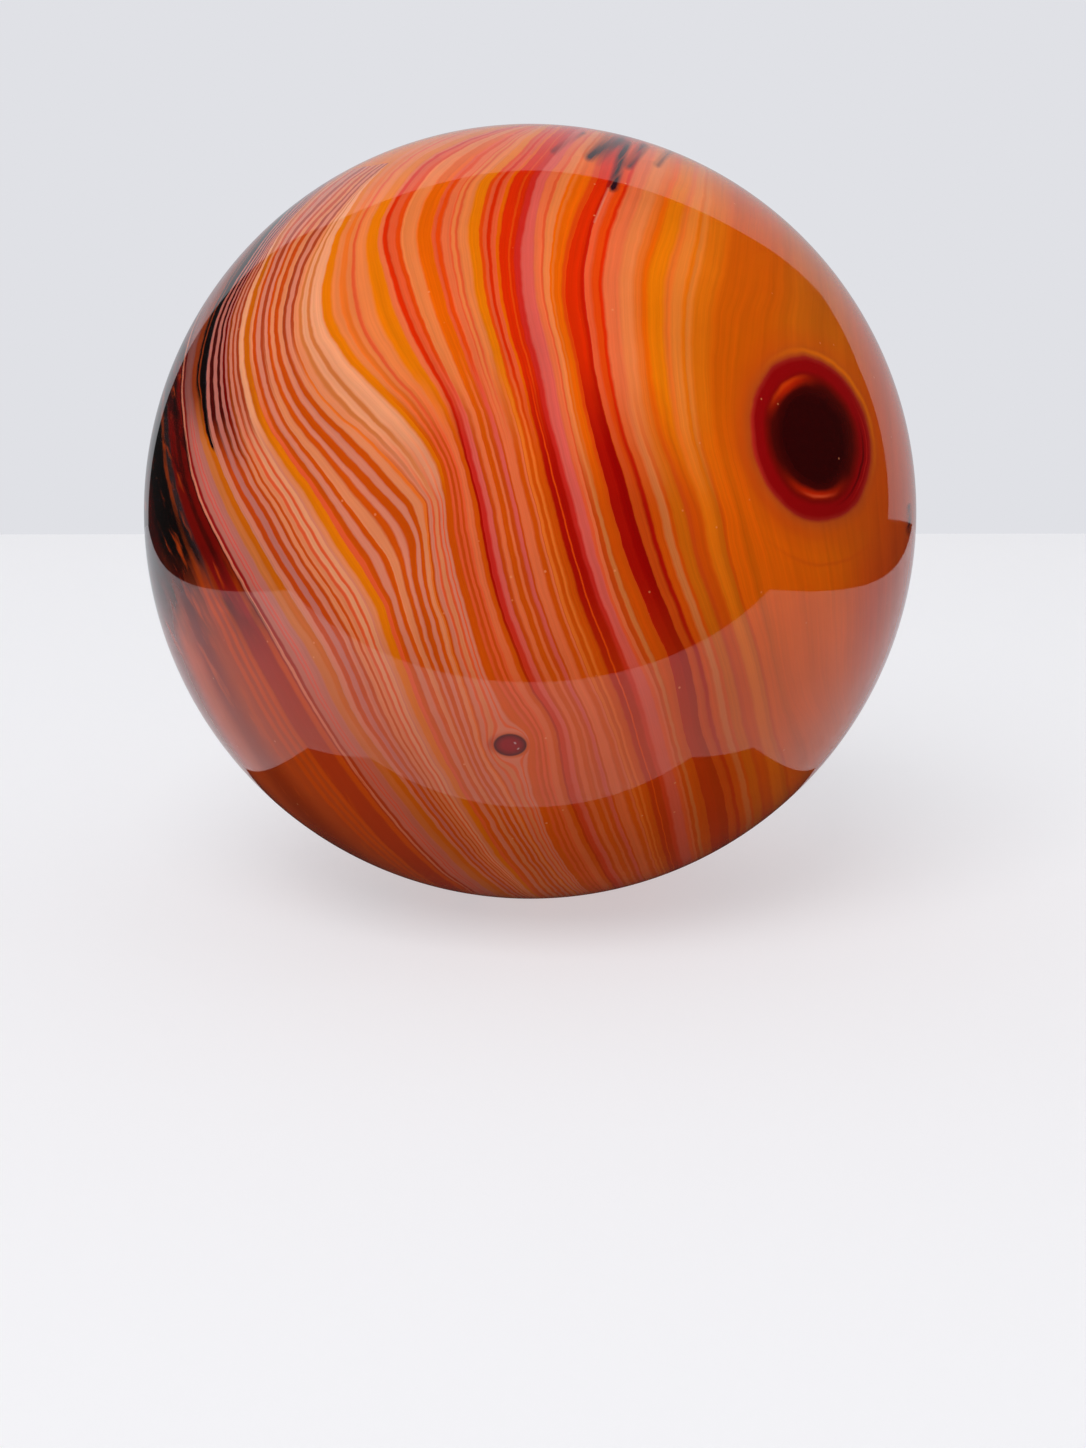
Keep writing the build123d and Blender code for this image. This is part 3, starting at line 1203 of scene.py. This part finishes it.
@dataclass
class Stage:
    """The pale desk and board that the ball is seen against and mirrors."""

    floor: float
    desk_front: float = -58 * MM
    desk_half_width: float = 126 * MM
    seat_half_width: float = 32 * MM
    seat_half_depth: float = 26.5 * MM
    seat_corner: float = 9 * MM
    board: float = 200 * MM
    board_left: float = -175 * MM
    board_right: float = 190 * MM
    board_top: float = 335 * MM
    left_corner: float = 115 * MM
    right_corner: float = 140 * MM
    board_foot: tuple[tuple[float, float], ...] = ((-130, -31), (300, -31), (250, 85), (192, 120))
    apron: float = 1.2

    def _panel(self, name: str, outline: list[Vector], paint: bpy.types.Material) -> bpy.types.Object:
        """Makes one flat panel of the stage.

        Args:
            name: The panel's name.
            outline: Its corners, anticlockwise as seen from its front.
            paint: Its finish.

        Returns:
            The panel's object.
        """
        shape = bmesh.new()
        shape.faces.new([shape.verts.new(corner) for corner in outline])
        return self._finish_panel(name, shape, paint)

    @staticmethod
    def _finish_panel(name: str, shape: bmesh.types.BMesh, paint: bpy.types.Material) -> bpy.types.Object:
        """Turns a panel's shape into a painted object of the stage.

        Args:
            name: The panel's name.
            shape: Its faces, which are used up.
            paint: Its finish.

        Returns:
            The panel's object.
        """
        mesh = bpy.data.meshes.new(name)
        shape.to_mesh(mesh)
        shape.free()
        mesh.materials.append(paint)
        panel = bpy.data.objects.new(name, mesh)
        bpy.context.scene.collection.objects.link(panel)
        LOG.info("%s: %d corners", name, len(mesh.vertices))
        return panel

    def _mirrored_desk(self, paint: bpy.types.Material) -> None:
        """Makes the part of the desk that the ball mirrors, which leaves out the seat under the ball.

        Args:
            paint: Its finish.
        """
        outer = (self.desk_half_width, self.desk_front, self.board)
        inner = (self.seat_half_width, -self.seat_half_depth, self.seat_half_depth)
        shape = bmesh.new()
        loops = []
        for half, front, back, corner in ((*outer, 1 * MM), (*inner, self.seat_corner)):
            right_side = (
                (half - corner, front), (half, front + corner), (half, back - corner), (half - corner, back),
            )
            left_side = [(-across, away) for across, away in reversed(right_side)]
            ring = [shape.verts.new((across, away, self.floor)) for across, away in (*right_side, *left_side)]
            loops += [shape.edges.new((ring[number - 1], ring[number])) for number in range(len(ring))]
        bmesh.ops.bridge_loops(shape, edges=loops)
        bmesh.ops.recalc_face_normals(shape, faces=shape.faces[:])
        desk = self._finish_panel("desk", shape, paint)
        desk.visible_camera = False
        desk.visible_diffuse = False
        desk.visible_shadow = False

    def _board_outline(self) -> list[Vector]:
        """Gives the board's outline: its uneven foot, and two rounded upper corners."""
        outline = [Vector((across * MM, self.board, up * MM)) for across, up in self.board_foot]
        steps = 16
        for middle, corner, first in (
            (self.board_right - self.right_corner, self.right_corner, 0.0),
            (self.board_left + self.left_corner, self.left_corner, 90.0),
        ):
            for step in range(steps + 1):
                angle = math.radians(first + 90.0 * step / steps)
                across = middle + corner * math.cos(angle)
                up = self.board_top - corner + corner * math.sin(angle)
                outline.append(Vector((across, self.board, up)))
        return outline

    def build(self) -> None:
        """Makes the desk, the wider desk that isn't mirrored, and the board."""
        desk_paint = MattePaint("desk paint", (218, 218, 222)).material()
        far_paint = MattePaint("far desk paint", (245, 245, 248), even=0.55).material()
        board_paint = MattePaint("board paint", (224, 225, 230), even=1.0).material()
        self._mirrored_desk(desk_paint)
        reach = self.apron
        corners = ((-reach, -reach), (reach, -reach), (reach, reach), (-reach, reach))
        outline = [Vector((across, away, self.floor)) for across, away in corners]
        wide = self._panel("wide_desk", outline, far_paint)
        wide.visible_glossy = False
        wide.visible_diffuse = False
        self._panel("board", self._board_outline(), board_paint)
        back = self._panel(
            "back_wall",
            [
                Vector((-self.apron, self.board + MM, self.floor)),
                Vector((self.apron, self.board + MM, self.floor)),
                Vector((self.apron, self.board + MM, self.apron)),
                Vector((-self.apron, self.board + MM, self.apron)),
            ],
            board_paint,
        )
        back.visible_glossy = False


@dataclass(frozen=True)
class Lamp:
    """One soft square lamp, aimed at the ball."""

    name: str
    place: tuple[float, float, float]
    size: float
    power: float


@dataclass
class Lighting:
    """Soft studio light, mostly from above."""

    target: Vector
    lamps: tuple[Lamp, ...] = (
        Lamp("key_lamp", (-0.20, -0.65, 0.73), 0.60, 6.1),
    )
    ambient: float = 0.47
    backdrop: float = 0.86
    mirrored: float = 0.02

    def _world(self) -> None:
        """Makes a pale world to look at, a soft one to be lit by and a dark one to be mirrored."""
        world = bpy.data.worlds.new("soft room")
        bpy.context.scene.world = world
        world.use_nodes = True
        wiring = Wiring(world.node_tree)
        world.node_tree.nodes.clear()
        end = wiring.put("ShaderNodeOutputWorld")
        path = wiring.put("ShaderNodeLightPath")
        strength = wiring.span(path.outputs["Is Glossy Ray"], 0.0, 1.0, self.ambient, self.mirrored)
        strength = wiring.span(path.outputs["Is Camera Ray"], 0.0, 1.0, strength, self.backdrop)
        glow = wiring.put("ShaderNodeBackground")
        glow.inputs["Color"].default_value = (1.0, 1.0, 1.0, 1.0)
        wiring.feed(glow.inputs["Strength"], strength)
        wiring.feed(end.inputs["Surface"], glow.outputs[0])

    def build(self) -> None:
        """Makes the world and hangs the lamps, which aren't mirrored in the stone."""
        self._world()
        for lamp in self.lamps:
            light = bpy.data.lights.new(lamp.name, "AREA")
            light.size = lamp.size
            light.energy = lamp.power
            holder = bpy.data.objects.new(lamp.name, light)
            holder.location = lamp.place
            aim = self.target - Vector(lamp.place)
            holder.rotation_euler = aim.to_track_quat("-Z", "Y").to_euler()
            holder.visible_glossy = False
            bpy.context.scene.collection.objects.link(holder)
            LOG.info("%s: %.1f W", lamp.name, lamp.power)


@dataclass
class Viewpoint:
    """The camera, close to the ball and a little above it."""

    target: Vector
    distance: float = 211.5 * MM
    lens: float = 64.6
    look_below: float = math.radians(4.58)
    look_right: float = math.radians(0.28)

    def build(self) -> bpy.types.Object:
        """Sets up the camera, which looks a little below the ball."""
        data = bpy.data.cameras.new("viewpoint")
        data.lens = self.lens
        data.sensor_width = 36.0
        data.clip_start = 0.01
        camera = bpy.data.objects.new("viewpoint", data)
        bpy.context.scene.collection.objects.link(camera)
        back = Vector((0.0, -math.cos(VIEW_TILT), math.sin(VIEW_TILT)))
        camera.location = self.target + self.distance * back
        pitch = math.pi / 2 - VIEW_TILT - self.look_below
        camera.rotation_euler = Euler((pitch, 0.0, -self.look_right))
        bpy.context.scene.camera = camera
        LOG.info("viewpoint: %.1f mm from the ball's centre", self.distance / MM)
        return camera


def main() -> None:
    """Builds the ball, its stage, its light and the camera."""
    logging.basicConfig(level=logging.INFO, format="%(name)s: %(message)s")
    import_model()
    lowest, highest = (Vector(corner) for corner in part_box(STONE_NODE))
    centre = (lowest + highest) / 2
    radius = (highest.z - lowest.z) / 2
    Ball(centre, radius).build(BandedStone())
    Stage(floor=lowest.z).build()
    Lighting(centre).build()
    Viewpoint(centre).build()
    bpy.context.scene.view_settings.view_transform = "Standard"


if __name__ == "__main__":
    main()
